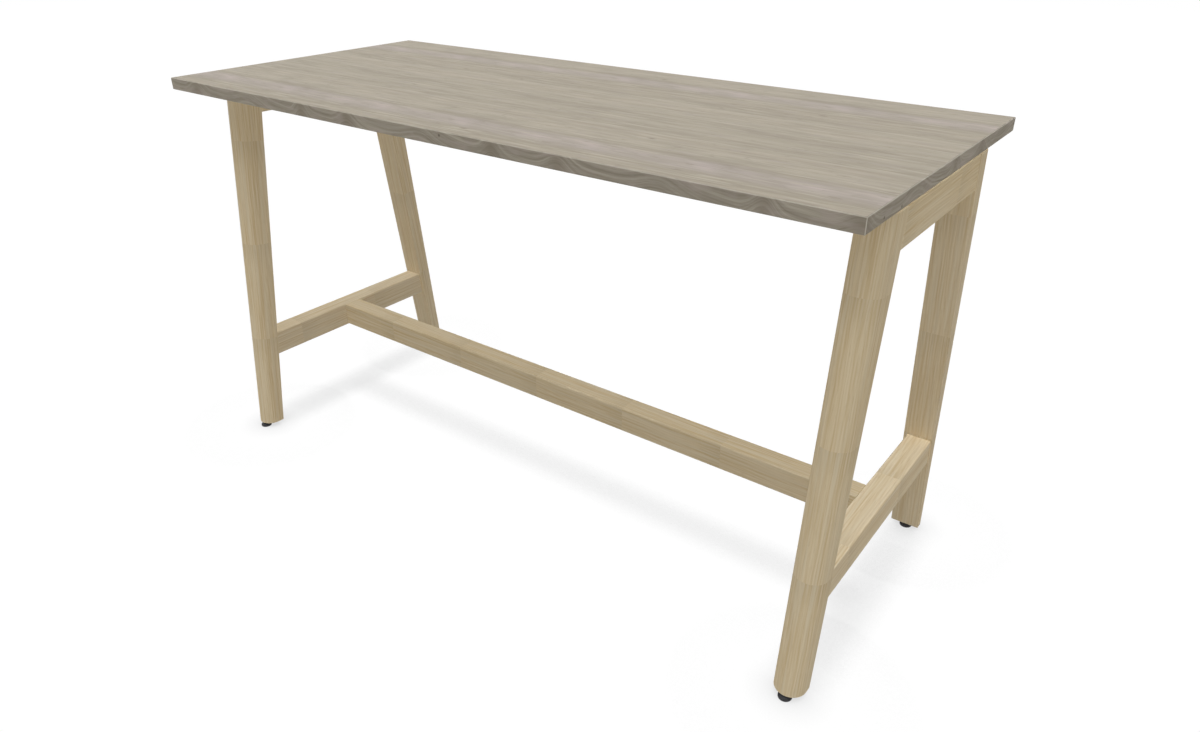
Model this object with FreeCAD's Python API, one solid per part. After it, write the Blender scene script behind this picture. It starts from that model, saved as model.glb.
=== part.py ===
import FreeCAD, Part
import math
import os

# High table: a wood-decor top floating on two splayed end frames, tied by one footrest bar.
# Millimetres. X runs along the table, Y across it, Z up. The origin is on the floor, under the middle.

# Tabletop
TABLE_LENGTH = 1600.0
TABLE_WIDTH = 700.0
TABLE_HEIGHT = 905.0
TOP_THICKNESS = 25.0
BAND_THICKNESS = 2.0
BAND_ROUNDING = 1.8

# Spacers, screws and inserts that carry the top
SPACER_HEIGHT = 7.0
SPACER_DIAMETER = 24.0
SCREW_DIAMETER = 6.0
SCREW_GRIP = 28.0
SCREW_ENGAGEMENT = 10.0
SCREW_HEAD_DIAMETER = 10.5
SCREW_HEAD_HEIGHT = 4.0
SCREW_SOCKET_ACROSS = 4.0
SCREW_SOCKET_DEPTH = 2.2
SCREW_FROM_RAIL_END = 53.5
TOP_INSERT_DIAMETER = 10.0
TOP_INSERT_LENGTH = 13.0

# Legs: a setback is how far the rounded nose stands inside the top's long edge
LEG_END_INSET = 4.0
LEG_THICKNESS = 60.0
LEG_HEAD_SETBACK = 111.5
LEG_HEAD_DEPTH = 65.0
LEG_FOOT_SETBACK = 25.5
LEG_FOOT_DEPTH = 44.5
LEG_EDGE_ROUNDING = 1.0

# Rails under the top
RAIL_INSET = 1.0
RAIL_THICKNESS = 50.0
RAIL_HEIGHT = 66.0
RAIL_ROUNDING = 2.0

# Cross bars and the footrest bar, whose upper faces are level
FOOTREST_LEVEL = 256.0
CROSS_BAR_INSET = 3.0
CROSS_BAR_THICKNESS = 50.0
CROSS_BAR_HEIGHT = 60.0
FOOTREST_THICKNESS = 50.0
FOOTREST_HEIGHT = 58.0
BAR_ROUNDING = 3.0

# Dowels glued across the joints of the end frames
DOWEL_DIAMETER = 10.0
DOWEL_LENGTH = 60.0
DOWEL_IN_LEG = 25.0
DOWEL_CHAMFER = 1.0
RAIL_DOWEL_SPACING = 32.0
CROSS_BAR_DOWEL_SPACING = 30.0

# Knock-down joint at each end of the footrest bar
FOOTREST_DOWEL_DIAMETER = 8.0
FOOTREST_DOWEL_LENGTH = 40.0
FOOTREST_DOWEL_SPACING = 30.0
CAM_DISTANCE = 34.0
CAM_DIAMETER = 15.0
CAM_RISE = 8.0
CAM_SLOT_WIDTH = 2.0
CAM_SLOT_DEPTH = 3.0
CAM_SLOT_LENGTH = 11.0
BOLT_THREAD_DIAMETER = 6.0
BOLT_THREAD_LENGTH = 14.0
BOLT_SHANK_DIAMETER = 5.0
BOLT_HEAD_DIAMETER = 7.0
BOLT_HEAD_LENGTH = 4.0

# Levelling feet, which stand forward of the legs' middles: near the nose in front, near the inner face behind
FOOT_HEIGHT = 12.0
FRONT_STUD_FROM_NOSE = 10.0
BACK_STUD_FROM_INNER_FACE = 13.5
PAD_DIAMETER = 26.0
PAD_HEIGHT = 7.0
PAD_RIM_HEIGHT = 4.2
PAD_CROWN_DIAMETER = 15.0
PAD_CHAMFER = 0.8
BALL_DIAMETER = 7.2
BALL_LEVEL = 4.8
NECK_DIAMETER = 4.8
COLLAR_ACROSS = 13.0
STUD_DIAMETER = 8.0
STUD_LENGTH = 32.0
STUD_CHAMFER = 1.0
FOOT_INSERT_DIAMETER = 11.0
FOOT_INSERT_LENGTH = 18.0

# Clearances
GLUE_CLEARANCE = 0.1
INSERT_CLEARANCE = 0.05
THREAD_CLEARANCE = 0.05
HOLE_CLEARANCE = 0.3
BALL_CLEARANCE = 0.3
HOLE_END_ROOM = 1.0
CAM_CLEARANCE = 0.2

# Places worked out from the sizes above
half_length = TABLE_LENGTH / 2
half_width = TABLE_WIDTH / 2
top_underside = TABLE_HEIGHT - TOP_THICKNESS
frame_head = top_underside - SPACER_HEIGHT
leg_outer_x = half_length - LEG_END_INSET
leg_inner_x = leg_outer_x - LEG_THICKNESS
leg_middle_x = leg_outer_x - LEG_THICKNESS / 2
leg_head_y = half_width - LEG_HEAD_SETBACK
leg_foot_y = half_width - LEG_FOOT_SETBACK
rail_outer_x = leg_outer_x - RAIL_INSET
rail_middle_x = rail_outer_x - RAIL_THICKNESS / 2
rail_underside = frame_head - RAIL_HEIGHT
cross_bar_outer_x = leg_outer_x - CROSS_BAR_INSET
cross_bar_inner_x = cross_bar_outer_x - CROSS_BAR_THICKNESS
cross_bar_middle_x = cross_bar_outer_x - CROSS_BAR_THICKNESS / 2
cross_bar_underside = FOOTREST_LEVEL - CROSS_BAR_HEIGHT
footrest_underside = FOOTREST_LEVEL - FOOTREST_HEIGHT
footrest_middle_z = FOOTREST_LEVEL - FOOTREST_HEIGHT / 2
cam_x = cross_bar_inner_x - CAM_DISTANCE
front_stud_y = FRONT_STUD_FROM_NOSE - leg_foot_y
back_stud_y = leg_foot_y - LEG_FOOT_DEPTH + BACK_STUD_FROM_INNER_FACE

SIDES = {"left": -1, "right": 1}
ENDS = {"front": -1, "back": 1}
STUD_ROWS = {"front": front_stud_y, "back": back_stud_y}
UP = FreeCAD.Vector(0, 0, 1)


def point(x, y, z):
    return FreeCAD.Vector(x, y, z)


def between(foot_value, head_value, z):
    """A leg size at height z, on the straight line from the leg's foot to its head."""
    share = (z - FOOT_HEIGHT) / (frame_head - FOOT_HEIGHT)
    return foot_value + (head_value - foot_value) * share


def leg_outer_y(z):
    return between(leg_foot_y, leg_head_y, z)


def leg_inner_y(z):
    return between(leg_foot_y - LEG_FOOT_DEPTH, leg_head_y - LEG_HEAD_DEPTH, z)


def turned(outline, base=None, axis=UP):
    """A solid turned about an axis. The outline lists (radius, distance along the axis) from the base."""
    corners = [point(radius, 0, distance) for radius, distance in outline]
    face = Part.Face(Part.makePolygon(corners + corners[:1]))
    solid = face.revolve(point(0, 0, 0), UP, 360)
    solid.Placement = FreeCAD.Placement(base or point(0, 0, 0), FreeCAD.Rotation(UP, axis))
    return solid


def hexagon(across_flats, low_z, high_z, x=0.0, y=0.0):
    radius = across_flats / math.sqrt(3)
    angles = [math.radians(60 * step) for step in range(6)]
    corners = [point(x + radius * math.cos(a), y + radius * math.sin(a), low_z) for a in angles]
    face = Part.Face(Part.makePolygon(corners + corners[:1]))
    return face.extrude(point(0, 0, high_z - low_z))


def rounded_along(solid, axis, radius):
    """Round the straight edges of a solid that run along an axis."""
    chosen = []
    for edge in solid.Edges:
        run = edge.Vertexes[-1].Point - edge.Vertexes[0].Point
        if abs(abs(run.normalize().dot(axis)) - 1) < 1e-6:
            chosen.append(edge)
    return solid.makeFillet(radius, chosen)


def save(name, *solids):
    shape = solids[0] if len(solids) == 1 else Part.makeCompound(list(solids))
    shape.exportStep("parts/" + name + ".step")
    volume = sum(solid.Volume for solid in solids)
    print(name, len(solids), "solids", round(volume), "mm3", "valid" if shape.isValid() else "NOT VALID")


# Tabletop board and edge bands
def tabletop():
    """One rounded plate, parted into a core board and four bands. Long bands cover the short bands' ends."""
    corner = point(-half_length, -half_width, top_underside)
    plate = Part.makeBox(TABLE_LENGTH, TABLE_WIDTH, TOP_THICKNESS, corner)
    plate = plate.makeFillet(BAND_ROUNDING, plate.Edges)
    core_length = TABLE_LENGTH - 2 * BAND_THICKNESS
    core_width = TABLE_WIDTH - 2 * BAND_THICKNESS
    core_corner = point(-core_length / 2, -core_width / 2, top_underside)
    core = Part.makeBox(core_length, core_width, TOP_THICKNESS, core_corner)
    rim = plate.cut(core)
    pieces = {"tabletop_board": plate.common(core)}
    for end, sign in ENDS.items():
        low_y = -half_width if sign < 0 else half_width - BAND_THICKNESS
        corner = point(-half_length, low_y, top_underside)
        strip = Part.makeBox(TABLE_LENGTH, BAND_THICKNESS, TOP_THICKNESS, corner)
        pieces["edge_band_" + end] = rim.common(strip)
    for side, sign in SIDES.items():
        low_x = -half_length if sign < 0 else half_length - BAND_THICKNESS
        corner = point(low_x, -core_width / 2, top_underside)
        strip = Part.makeBox(BAND_THICKNESS, core_width, TOP_THICKNESS, corner)
        pieces["edge_band_" + side] = rim.common(strip)
    return pieces


def screw_places():
    """Where a screw rises through a rail into the top: X and Y of its axis."""
    last = leg_inner_y(frame_head) - SCREW_FROM_RAIL_END
    rows = (-last, 0.0, last)
    return [(sign * rail_middle_x, y) for sign in SIDES.values() for y in rows]


def top_insert(x, y):
    outer = TOP_INSERT_DIAMETER / 2
    bore = SCREW_DIAMETER / 2 + THREAD_CLEARANCE
    tube = [(bore, 0), (outer, 0), (outer, TOP_INSERT_LENGTH), (bore, TOP_INSERT_LENGTH)]
    return turned(tube, point(x, y, top_underside))


def top_insert_hole(x, y):
    radius = TOP_INSERT_DIAMETER / 2 + INSERT_CLEARANCE
    return Part.makeCylinder(radius, TOP_INSERT_LENGTH + HOLE_END_ROOM, point(x, y, top_underside))


def top_spacer(x, y):
    outer = SPACER_DIAMETER / 2
    bore = SCREW_DIAMETER / 2 + HOLE_CLEARANCE
    disc = [(bore, 0), (outer, 0), (outer, SPACER_HEIGHT), (bore, SPACER_HEIGHT)]
    return turned(disc, point(x, y, frame_head))


def top_screw(x, y):
    """A socket-head screw: its head bears on the shoulder of the rail's counterbore."""
    seat = frame_head - SCREW_GRIP
    reach = SCREW_GRIP + SPACER_HEIGHT + SCREW_ENGAGEMENT
    shank = SCREW_DIAMETER / 2
    head = SCREW_HEAD_DIAMETER / 2
    outline = [
        (0, -SCREW_HEAD_HEIGHT), (head, -SCREW_HEAD_HEIGHT), (head, 0),
        (shank, 0), (shank, reach), (0, reach),
    ]
    head_face = seat - SCREW_HEAD_HEIGHT
    socket = hexagon(SCREW_SOCKET_ACROSS, head_face, head_face + SCREW_SOCKET_DEPTH, x, y)
    return turned(outline, point(x, y, seat)).cut(socket)


def top_screw_hole(x, y):
    """Counterbore from the rail's underside up to the seat, then a clear hole up to the rail's head."""
    wide = SCREW_HEAD_DIAMETER / 2 + HOLE_CLEARANCE
    narrow = SCREW_DIAMETER / 2 + HOLE_CLEARANCE
    seat = RAIL_HEIGHT - SCREW_GRIP
    outline = [
        (0, 0), (wide, 0), (wide, seat),
        (narrow, seat), (narrow, RAIL_HEIGHT), (0, RAIL_HEIGHT),
    ]
    return turned(outline, point(x, y, rail_underside))


# End frames
def leg_section(z, side, end):
    """D-shaped outline of a leg at one height: flat inside, half round outside, eased inner corners."""
    inner = leg_inner_y(z)
    outer = leg_outer_y(z)
    nose = LEG_THICKNESS / 2
    small = LEG_EDGE_ROUNDING
    eighth = math.sqrt(0.5)
    nose_y = outer - nose

    def corner(x, y):
        return point(side * x, end * y, z)

    def line(start, finish):
        return Part.LineSegment(start, finish).toShape()

    def arc(start, middle, finish):
        return Part.Arc(start, middle, finish).toShape()

    flat_out = corner(leg_outer_x - small, inner)
    flat_in = corner(leg_inner_x + small, inner)
    side_out = corner(leg_outer_x, inner + small)
    side_in = corner(leg_inner_x, inner + small)
    shoulder_out = corner(leg_outer_x, nose_y)
    shoulder_in = corner(leg_inner_x, nose_y)
    tip = corner(leg_middle_x, outer)
    cut = small * (1 - eighth)
    edges = [
        line(flat_in, flat_out),
        arc(flat_out, corner(leg_outer_x - cut, inner + cut), side_out),
        line(side_out, shoulder_out),
        arc(shoulder_out, corner(leg_middle_x + nose * eighth, nose_y + nose * eighth), tip),
        arc(tip, corner(leg_middle_x - nose * eighth, nose_y + nose * eighth), shoulder_in),
        line(shoulder_in, side_in),
        arc(side_in, corner(leg_inner_x + cut, inner + cut), flat_in),
    ]
    return Part.Wire(edges)


def leg(side, end):
    sections = [leg_section(FOOT_HEIGHT, side, end), leg_section(frame_head, side, end)]
    return Part.makeLoft(sections, True, True)


def frame_beam(outer_x, thickness, low_z, high_z, rounding, side):
    """A beam across an end frame. Its ends are cut to the slope of the legs' inner faces."""
    corners = [
        point(outer_x - thickness, -leg_inner_y(low_z), low_z),
        point(outer_x - thickness, leg_inner_y(low_z), low_z),
        point(outer_x - thickness, leg_inner_y(high_z), high_z),
        point(outer_x - thickness, -leg_inner_y(high_z), high_z),
    ]
    beam = Part.Face(Part.makePolygon(corners + corners[:1])).extrude(point(thickness, 0, 0))
    beam = rounded_along(beam, point(0, 1, 0), rounding)
    return beam if side > 0 else beam.mirror(point(0, 0, 0), point(1, 0, 0))


def dowel_places(end):
    """Dowels at one end of the right-hand rail and cross bar: X and Z of each axis, and the end."""
    rail_z = frame_head - RAIL_HEIGHT / 2
    bar_z = FOOTREST_LEVEL - CROSS_BAR_HEIGHT / 2
    places = []
    for step in (-0.5, 0.5):
        places.append((rail_middle_x, rail_z + step * RAIL_DOWEL_SPACING, end))
        places.append((cross_bar_middle_x, bar_z + step * CROSS_BAR_DOWEL_SPACING, end))
    return places


def dowel_pin(diameter, length, start, direction):
    radius = diameter / 2
    tip = radius - DOWEL_CHAMFER
    outline = [
        (0, 0), (tip, 0), (radius, DOWEL_CHAMFER),
        (radius, length - DOWEL_CHAMFER), (tip, length), (0, length),
    ]
    return turned(outline, start, direction)


def frame_dowel(x, z, end, side):
    start = point(side * x, end * (leg_inner_y(z) + DOWEL_IN_LEG - DOWEL_LENGTH), z)
    return dowel_pin(DOWEL_DIAMETER, DOWEL_LENGTH, start, point(0, end, 0))


def frame_dowel_hole(x, z, end, side):
    start = point(side * x, end * (leg_inner_y(z) + DOWEL_IN_LEG - DOWEL_LENGTH - HOLE_END_ROOM), z)
    radius = DOWEL_DIAMETER / 2 + GLUE_CLEARANCE
    return Part.makeCylinder(radius, DOWEL_LENGTH + 2 * HOLE_END_ROOM, start, point(0, end, 0))


# Footrest bar and its knock-down joints
def footrest_bar():
    low = point(-cross_bar_inner_x, -FOOTREST_THICKNESS / 2, footrest_underside)
    bar = Part.makeBox(2 * cross_bar_inner_x, FOOTREST_THICKNESS, FOOTREST_HEIGHT, low)
    return rounded_along(bar, point(1, 0, 0), BAR_ROUNDING)


def footrest_dowel_starts(side, length):
    """Inner ends of the pair of dowels, or of their holes, centred on the joint's face."""
    x = side * (cross_bar_inner_x - length / 2)
    return [point(x, row * FOOTREST_DOWEL_SPACING, footrest_middle_z) for row in (-0.5, 0.5)]


def footrest_dowels(side):
    starts = footrest_dowel_starts(side, FOOTREST_DOWEL_LENGTH)
    along = point(side, 0, 0)
    return [dowel_pin(FOOTREST_DOWEL_DIAMETER, FOOTREST_DOWEL_LENGTH, start, along) for start in starts]


def footrest_dowel_holes(side):
    length = FOOTREST_DOWEL_LENGTH + 2 * HOLE_END_ROOM
    radius = FOOTREST_DOWEL_DIAMETER / 2 + GLUE_CLEARANCE
    along = point(side, 0, 0)
    return [Part.makeCylinder(radius, length, start, along) for start in footrest_dowel_starts(side, length)]


def cam_bolt(side):
    """A bolt screwed into the cross bar, with a long shank and a head caught in the cam barrel."""
    thread = BOLT_THREAD_DIAMETER / 2
    shank = BOLT_SHANK_DIAMETER / 2
    head = BOLT_HEAD_DIAMETER / 2
    head_end = -CAM_DISTANCE - BOLT_HEAD_LENGTH / 2
    head_start = head_end + BOLT_HEAD_LENGTH
    outline = [
        (0, head_end), (head, head_end), (head, head_start), (shank, head_start), (shank, 0),
        (thread, 0), (thread, BOLT_THREAD_LENGTH), (0, BOLT_THREAD_LENGTH),
    ]
    return turned(outline, point(side * cross_bar_inner_x, 0, footrest_middle_z), point(side, 0, 0))


def cam_bolt_hole(side):
    """Pilot hole in the cross bar and clear hole from the bar's end to the cam barrel."""
    thread = BOLT_THREAD_DIAMETER / 2 + THREAD_CLEARANCE
    clear = BOLT_HEAD_DIAMETER / 2 + HOLE_CLEARANCE
    pilot_end = BOLT_THREAD_LENGTH + HOLE_END_ROOM
    outline = [
        (0, -CAM_DISTANCE), (clear, -CAM_DISTANCE), (clear, 0),
        (thread, 0), (thread, pilot_end), (0, pilot_end),
    ]
    return turned(outline, point(side * cross_bar_inner_x, 0, footrest_middle_z), point(side, 0, 0))


def cam_barrel(side):
    """A turned barrel with a cross hole for the bolt's head and a cross-shaped drive slot underneath."""
    height = footrest_middle_z + CAM_RISE - footrest_underside
    place = point(side * cam_x, 0, footrest_underside)
    barrel = Part.makeCylinder(CAM_DIAMETER / 2, height, place)
    mouth_radius = BOLT_HEAD_DIAMETER / 2 + HOLE_CLEARANCE
    mouth_start = point(side * (cam_x - BOLT_HEAD_LENGTH), 0, footrest_middle_z)
    mouth = Part.makeCylinder(mouth_radius, CAM_DIAMETER, mouth_start, point(side, 0, 0))
    slots = []
    for length, width in ((CAM_SLOT_LENGTH, CAM_SLOT_WIDTH), (CAM_SLOT_WIDTH, CAM_SLOT_LENGTH)):
        corner = point(side * cam_x - length / 2, -width / 2, footrest_underside)
        slots.append(Part.makeBox(length, width, CAM_SLOT_DEPTH, corner))
    return barrel.cut([mouth] + slots)


def cam_barrel_hole(side):
    height = footrest_middle_z + CAM_RISE - footrest_underside + CAM_CLEARANCE
    place = point(side * cam_x, 0, footrest_underside)
    return Part.makeCylinder(CAM_DIAMETER / 2 + CAM_CLEARANCE, height, place)


# Levelling feet
def foot_insert(x, y):
    outer = FOOT_INSERT_DIAMETER / 2
    bore = STUD_DIAMETER / 2 + THREAD_CLEARANCE
    tube = [(bore, 0), (outer, 0), (outer, FOOT_INSERT_LENGTH), (bore, FOOT_INSERT_LENGTH)]
    return turned(tube, point(x, y, FOOT_HEIGHT))


def foot_hole(x, y):
    """Hole for the insert, then a narrower one for the stud that rises through it."""
    wide = FOOT_INSERT_DIAMETER / 2 + INSERT_CLEARANCE
    narrow = STUD_DIAMETER / 2 + HOLE_CLEARANCE
    deep = STUD_LENGTH + HOLE_END_ROOM
    outline = [
        (0, 0), (wide, 0), (wide, FOOT_INSERT_LENGTH),
        (narrow, FOOT_INSERT_LENGTH), (narrow, deep), (0, deep),
    ]
    return turned(outline, point(x, y, FOOT_HEIGHT))


def glide_pad(x, y):
    """A domed pad with a ball socket that keeps it on the stud and lets it stand flat."""
    rim = PAD_DIAMETER / 2
    crown = PAD_CROWN_DIAMETER / 2
    outline = [
        (0, 0), (rim - PAD_CHAMFER, 0), (rim, PAD_CHAMFER),
        (rim, PAD_RIM_HEIGHT), (crown, PAD_HEIGHT), (0, PAD_HEIGHT),
    ]
    socket = Part.makeSphere(BALL_DIAMETER / 2 + BALL_CLEARANCE, point(x, y, BALL_LEVEL))
    throat = Part.makeCylinder(NECK_DIAMETER / 2 + BALL_CLEARANCE, PAD_HEIGHT, point(x, y, BALL_LEVEL))
    return turned(outline, point(x, y, 0)).cut([socket, throat])


def glide_stud(x, y):
    """Threaded stud with a hexagonal collar for the spanner and a ball end for the pad."""
    collar_low = PAD_HEIGHT + 2 * BALL_CLEARANCE
    collar_high = FOOT_HEIGHT - HOLE_CLEARANCE
    radius = STUD_DIAMETER / 2
    tip = FOOT_HEIGHT + STUD_LENGTH
    outline = [
        (0, collar_low), (radius, collar_low), (radius, tip - STUD_CHAMFER),
        (radius - STUD_CHAMFER, tip), (0, tip),
    ]
    rod = turned(outline, point(x, y, 0))
    neck = Part.makeCylinder(NECK_DIAMETER / 2, collar_low - BALL_LEVEL, point(x, y, BALL_LEVEL))
    ball = Part.makeSphere(BALL_DIAMETER / 2, point(x, y, BALL_LEVEL))
    collar = hexagon(COLLAR_ACROSS, collar_low, collar_high, x, y)
    return rod.fuse([neck, ball, collar]).removeSplitter()


os.makedirs("parts", exist_ok=True)

top_pieces = tabletop()
insert_holes = [top_insert_hole(x, y) for x, y in screw_places()]
top_pieces["tabletop_board"] = top_pieces["tabletop_board"].cut(insert_holes)
for name, piece in top_pieces.items():
    save(name, piece)
save("top_inserts", *[top_insert(x, y) for x, y in screw_places()])
save("top_spacers", *[top_spacer(x, y) for x, y in screw_places()])
save("top_screws", *[top_screw(x, y) for x, y in screw_places()])

screw_holes = [top_screw_hole(x, y) for x, y in screw_places()]
for side_name, side in SIDES.items():
    dowels = []
    dowel_holes = []
    for end_name, end in ENDS.items():
        end_holes = [frame_dowel_hole(x, z, row, side) for x, z, row in dowel_places(end)]
        dowels += [frame_dowel(x, z, row, side) for x, z, row in dowel_places(end)]
        dowel_holes += end_holes
        place = end_name + "_" + side_name
        foot = (side * leg_middle_x, STUD_ROWS[end_name])
        save("leg_" + place, leg(side, end).cut(end_holes + [foot_hole(*foot)]))
        save("glide_pad_" + place, glide_pad(*foot))
        save("glide_stud_" + place, glide_stud(*foot))
    save("frame_dowels_" + side_name, *dowels)
    rail = frame_beam(rail_outer_x, RAIL_THICKNESS, rail_underside, frame_head, RAIL_ROUNDING, side)
    save("top_rail_" + side_name, rail.cut(dowel_holes + screw_holes))
    bar = frame_beam(
        cross_bar_outer_x, CROSS_BAR_THICKNESS, cross_bar_underside, FOOTREST_LEVEL, BAR_ROUNDING, side)
    bar_holes = dowel_holes + footrest_dowel_holes(side) + [cam_bolt_hole(side)]
    save("cross_bar_" + side_name, bar.cut(bar_holes))

joint_holes = []
for side in SIDES.values():
    joint_holes += footrest_dowel_holes(side) + [cam_bolt_hole(side), cam_barrel_hole(side)]
save("footrest_bar", footrest_bar().cut(joint_holes))
save("footrest_dowels", *[pin for side in SIDES.values() for pin in footrest_dowels(side)])
save("footrest_cam_bolts", *[cam_bolt(side) for side in SIDES.values()])
save("footrest_cam_barrels", *[cam_barrel(side) for side in SIDES.values()])
feet = [(side * leg_middle_x, y) for side in SIDES.values() for y in STUD_ROWS.values()]
save("foot_inserts", *[foot_insert(x, y) for x, y in feet])
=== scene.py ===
import math
from functools import partial

import bmesh
import bpy
from mathutils import Matrix, Vector


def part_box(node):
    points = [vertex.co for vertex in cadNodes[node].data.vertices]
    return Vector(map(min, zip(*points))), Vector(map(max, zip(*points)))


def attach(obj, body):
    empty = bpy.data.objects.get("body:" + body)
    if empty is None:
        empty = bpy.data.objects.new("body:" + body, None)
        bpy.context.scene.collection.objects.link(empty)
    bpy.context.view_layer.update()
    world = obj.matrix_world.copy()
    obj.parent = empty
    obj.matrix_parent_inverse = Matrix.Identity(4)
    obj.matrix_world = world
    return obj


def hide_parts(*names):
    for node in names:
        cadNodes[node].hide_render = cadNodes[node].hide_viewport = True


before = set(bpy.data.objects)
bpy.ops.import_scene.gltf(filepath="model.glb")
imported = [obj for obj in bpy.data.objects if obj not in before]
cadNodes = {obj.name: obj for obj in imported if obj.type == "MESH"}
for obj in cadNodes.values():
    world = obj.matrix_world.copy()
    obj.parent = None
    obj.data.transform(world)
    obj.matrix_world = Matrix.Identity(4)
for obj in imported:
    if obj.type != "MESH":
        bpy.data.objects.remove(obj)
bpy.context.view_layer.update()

places = ("front_left", "front_right", "back_left", "back_right")
mm = 0.001
noiseSpan = {"From Min": 0.3, "From Max": 0.7}  # nearly all of a noise's values lie between these


# Small helpers for colours, nodes and finishes

def linear(code):  # sRGB hex to linear RGBA
    parts = [int(code[i:i + 2], 16) / 255 for i in (1, 3, 5)]
    curve = [p / 12.92 if p <= 0.04045 else ((p + 0.055) / 1.055) ** 2.4 for p in parts]
    return (*curve, 1.0)


def addNode(tree, kind, settings=None, links=None):  # a key is a setting, a socket's name or its number
    made = tree.nodes.new("ShaderNode" + kind)

    def socket(key):
        shown = [s for s in made.inputs if s.enabled]
        return shown[key] if isinstance(key, int) else next(s for s in shown if s.name == key)

    for key, value in (settings or {}).items():
        if key == "ramp":
            stops = made.color_ramp.elements
            for number, (position, code) in enumerate(value):
                stop = stops[number] if number < 2 else stops.new(position)
                stop.position = position
                stop.color = linear(code)
        elif isinstance(key, str) and hasattr(made, key):
            setattr(made, key, value)
        else:
            socket(key).default_value = value
    for key, source in (links or {}).items():
        if not isinstance(source, bpy.types.NodeSocket):
            source = next(s for s in source.outputs if s.enabled)
        tree.links.new(source, socket(key))
    return made


def newMaterial(name):
    mat = bpy.data.materials.new(name)
    mat.use_nodes = True
    mat.node_tree.nodes.clear()
    return mat, partial(addNode, mat.node_tree)


def rubbedEdges(add, look):  # nought on the faces, up to the look's strength along the arrises: wear, and on the oak a painted highlight too
    eased = add("Bevel", {"samples": 4, "Radius": look["wornReach"]})
    face = add("NewGeometry")
    facing = add("VectorMath", {"operation": "DOT_PRODUCT"}, {0: eased, 1: face.outputs["Normal"]})
    rubbed = {"From Min": 0.99, "From Max": 0.8, "To Max": look["wornStrength"]}
    return add("MapRange", rubbed, {"Value": facing})


def grainNoise(add, at, sizes, detail, shift=0.0):  # soft streaks, as long and wide as the three sizes
    scale = [1 / size if size else 0 for size in sizes]
    start = (shift, 0.4 * shift, 0.7 * shift)
    moved = add("VectorMath", {"operation": "MULTIPLY_ADD", 1: scale, 2: start}, {0: at})
    return add("TexNoise", {"Scale": 1.0, "Detail": detail, "Roughness": 0.6}, {"Vector": moved})


def finishSurface(add, look, tone, shine, height, span=noiseSpan):  # the sheen, bump and shader of a look
    first, last = look["roughness"]
    gloss = add("MapRange", {**span, "To Min": first, "To Max": last}, {"Value": shine})
    strength, depth = look["bump"]
    bump = add("Bump", {"Strength": strength, "Distance": depth}, {"Height": height})
    finish = add("BsdfPrincipled", look["shader"], {"Base Color": tone, "Roughness": gloss, "Normal": bump})
    add("OutputMaterial", {}, {"Surface": finish})


def dress(mat, *names):  # every material slot of these CAD pieces gets the finish
    for name in names:
        for slot in cadNodes[name].material_slots:
            slot.material = mat


# Camera at the photo's viewpoint

view = {
    "place": (1.16648, -1.40122, 1.26214),  # metres
    "forward": (-0.52742, 0.70666, -0.47166),
    "right": (0.80161, 0.59785, -0.00064),
    "focalPixels": 883.2,  # in the photo's frame
    "framePixels": 1200,
    "sensor": 36.0,
    "clip": (0.05, 200.0),
}
lens = bpy.data.cameras.new("photoCamera")
lens.sensor_fit = "HORIZONTAL"
lens.sensor_width = view["sensor"]
lens.lens = view["sensor"] * view["focalPixels"] / view["framePixels"]
lens.clip_start, lens.clip_end = view["clip"]
camera = bpy.data.objects.new("photoCamera", lens)
forward = Vector(view["forward"]).normalized()
right = Vector(view["right"])
right = (right - forward * right.dot(forward)).normalized()
axes = Matrix((right, right.cross(forward), -forward)).transposed()
camera.matrix_world = Matrix.Translation(view["place"]) @ axes.to_4x4()
bpy.context.scene.collection.objects.link(camera)
bpy.context.scene.camera = camera
bpy.context.scene.view_settings.view_transform = "Standard"
print("camera set, lens", round(lens.lens, 2), "mm")


# Plain soft studio light: one soft key, an even dome, and white all round

studio = {
    "keyToward": (0.1, -0.42, 1.0),  # from the object to the light
    "keySpread": 40.0,  # degrees, gives the tabletop's shadow its soft edge
    "keyLevel": 0.26,  # 1 lights a white sheet that faces it to white
    "domeToward": (0, 0, 1),
    "domeSpread": 180.0,
    "domeLevel": 0.5,
    "roomLevel": 0.26,  # light that corners and undersides can lose
    "white": "#FFFFFF",
}


def addSun(name, toward, spread, level, shadow):
    lamp = bpy.data.lights.new(name, "SUN")
    lamp.angle = math.radians(spread)
    lamp.energy = level * math.pi
    lamp.use_shadow = shadow
    lamp.cycles.use_multiple_importance_sampling = shadow  # else the dome gets its shadows back
    sun = bpy.data.objects.new(name, lamp)
    sun.rotation_euler = Vector(toward).to_track_quat("Z", "Y").to_euler()
    sun.visible_glossy = shadow  # the white room is what shines in the lacquer
    bpy.context.scene.collection.objects.link(sun)


addSun("softKey", studio["keyToward"], studio["keySpread"], studio["keyLevel"], True)
addSun("evenDome", studio["domeToward"], studio["domeSpread"], studio["domeLevel"], False)


def seenDirectly(add):  # 1 for what the camera, a reflection or a clear piece shows
    ray = add("LightPath").outputs
    seen = add("Math", {"operation": "MAXIMUM"}, {0: ray["Is Camera Ray"], 1: ray["Is Glossy Ray"]})
    return add("Math", {"operation": "MAXIMUM"}, {0: seen, 1: ray["Is Transmission Ray"]})


room = bpy.data.worlds.new("whiteRoom")
room.use_nodes = True
room.node_tree.nodes.clear()
addToRoom = partial(addNode, room.node_tree)
levels = {"To Min": studio["roomLevel"], "To Max": 1.0}
level = addToRoom("MapRange", levels, {"Value": seenDirectly(addToRoom)})
glow = addToRoom("Background", {"Color": linear(studio["white"])}, {"Strength": level})
addToRoom("OutputWorld", {}, {"Surface": glow})
bpy.context.scene.world = room
print("studio lit")


# White floor in four sheets: each rides on the foot that it is under, so a lowered foot still stands on it

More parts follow.
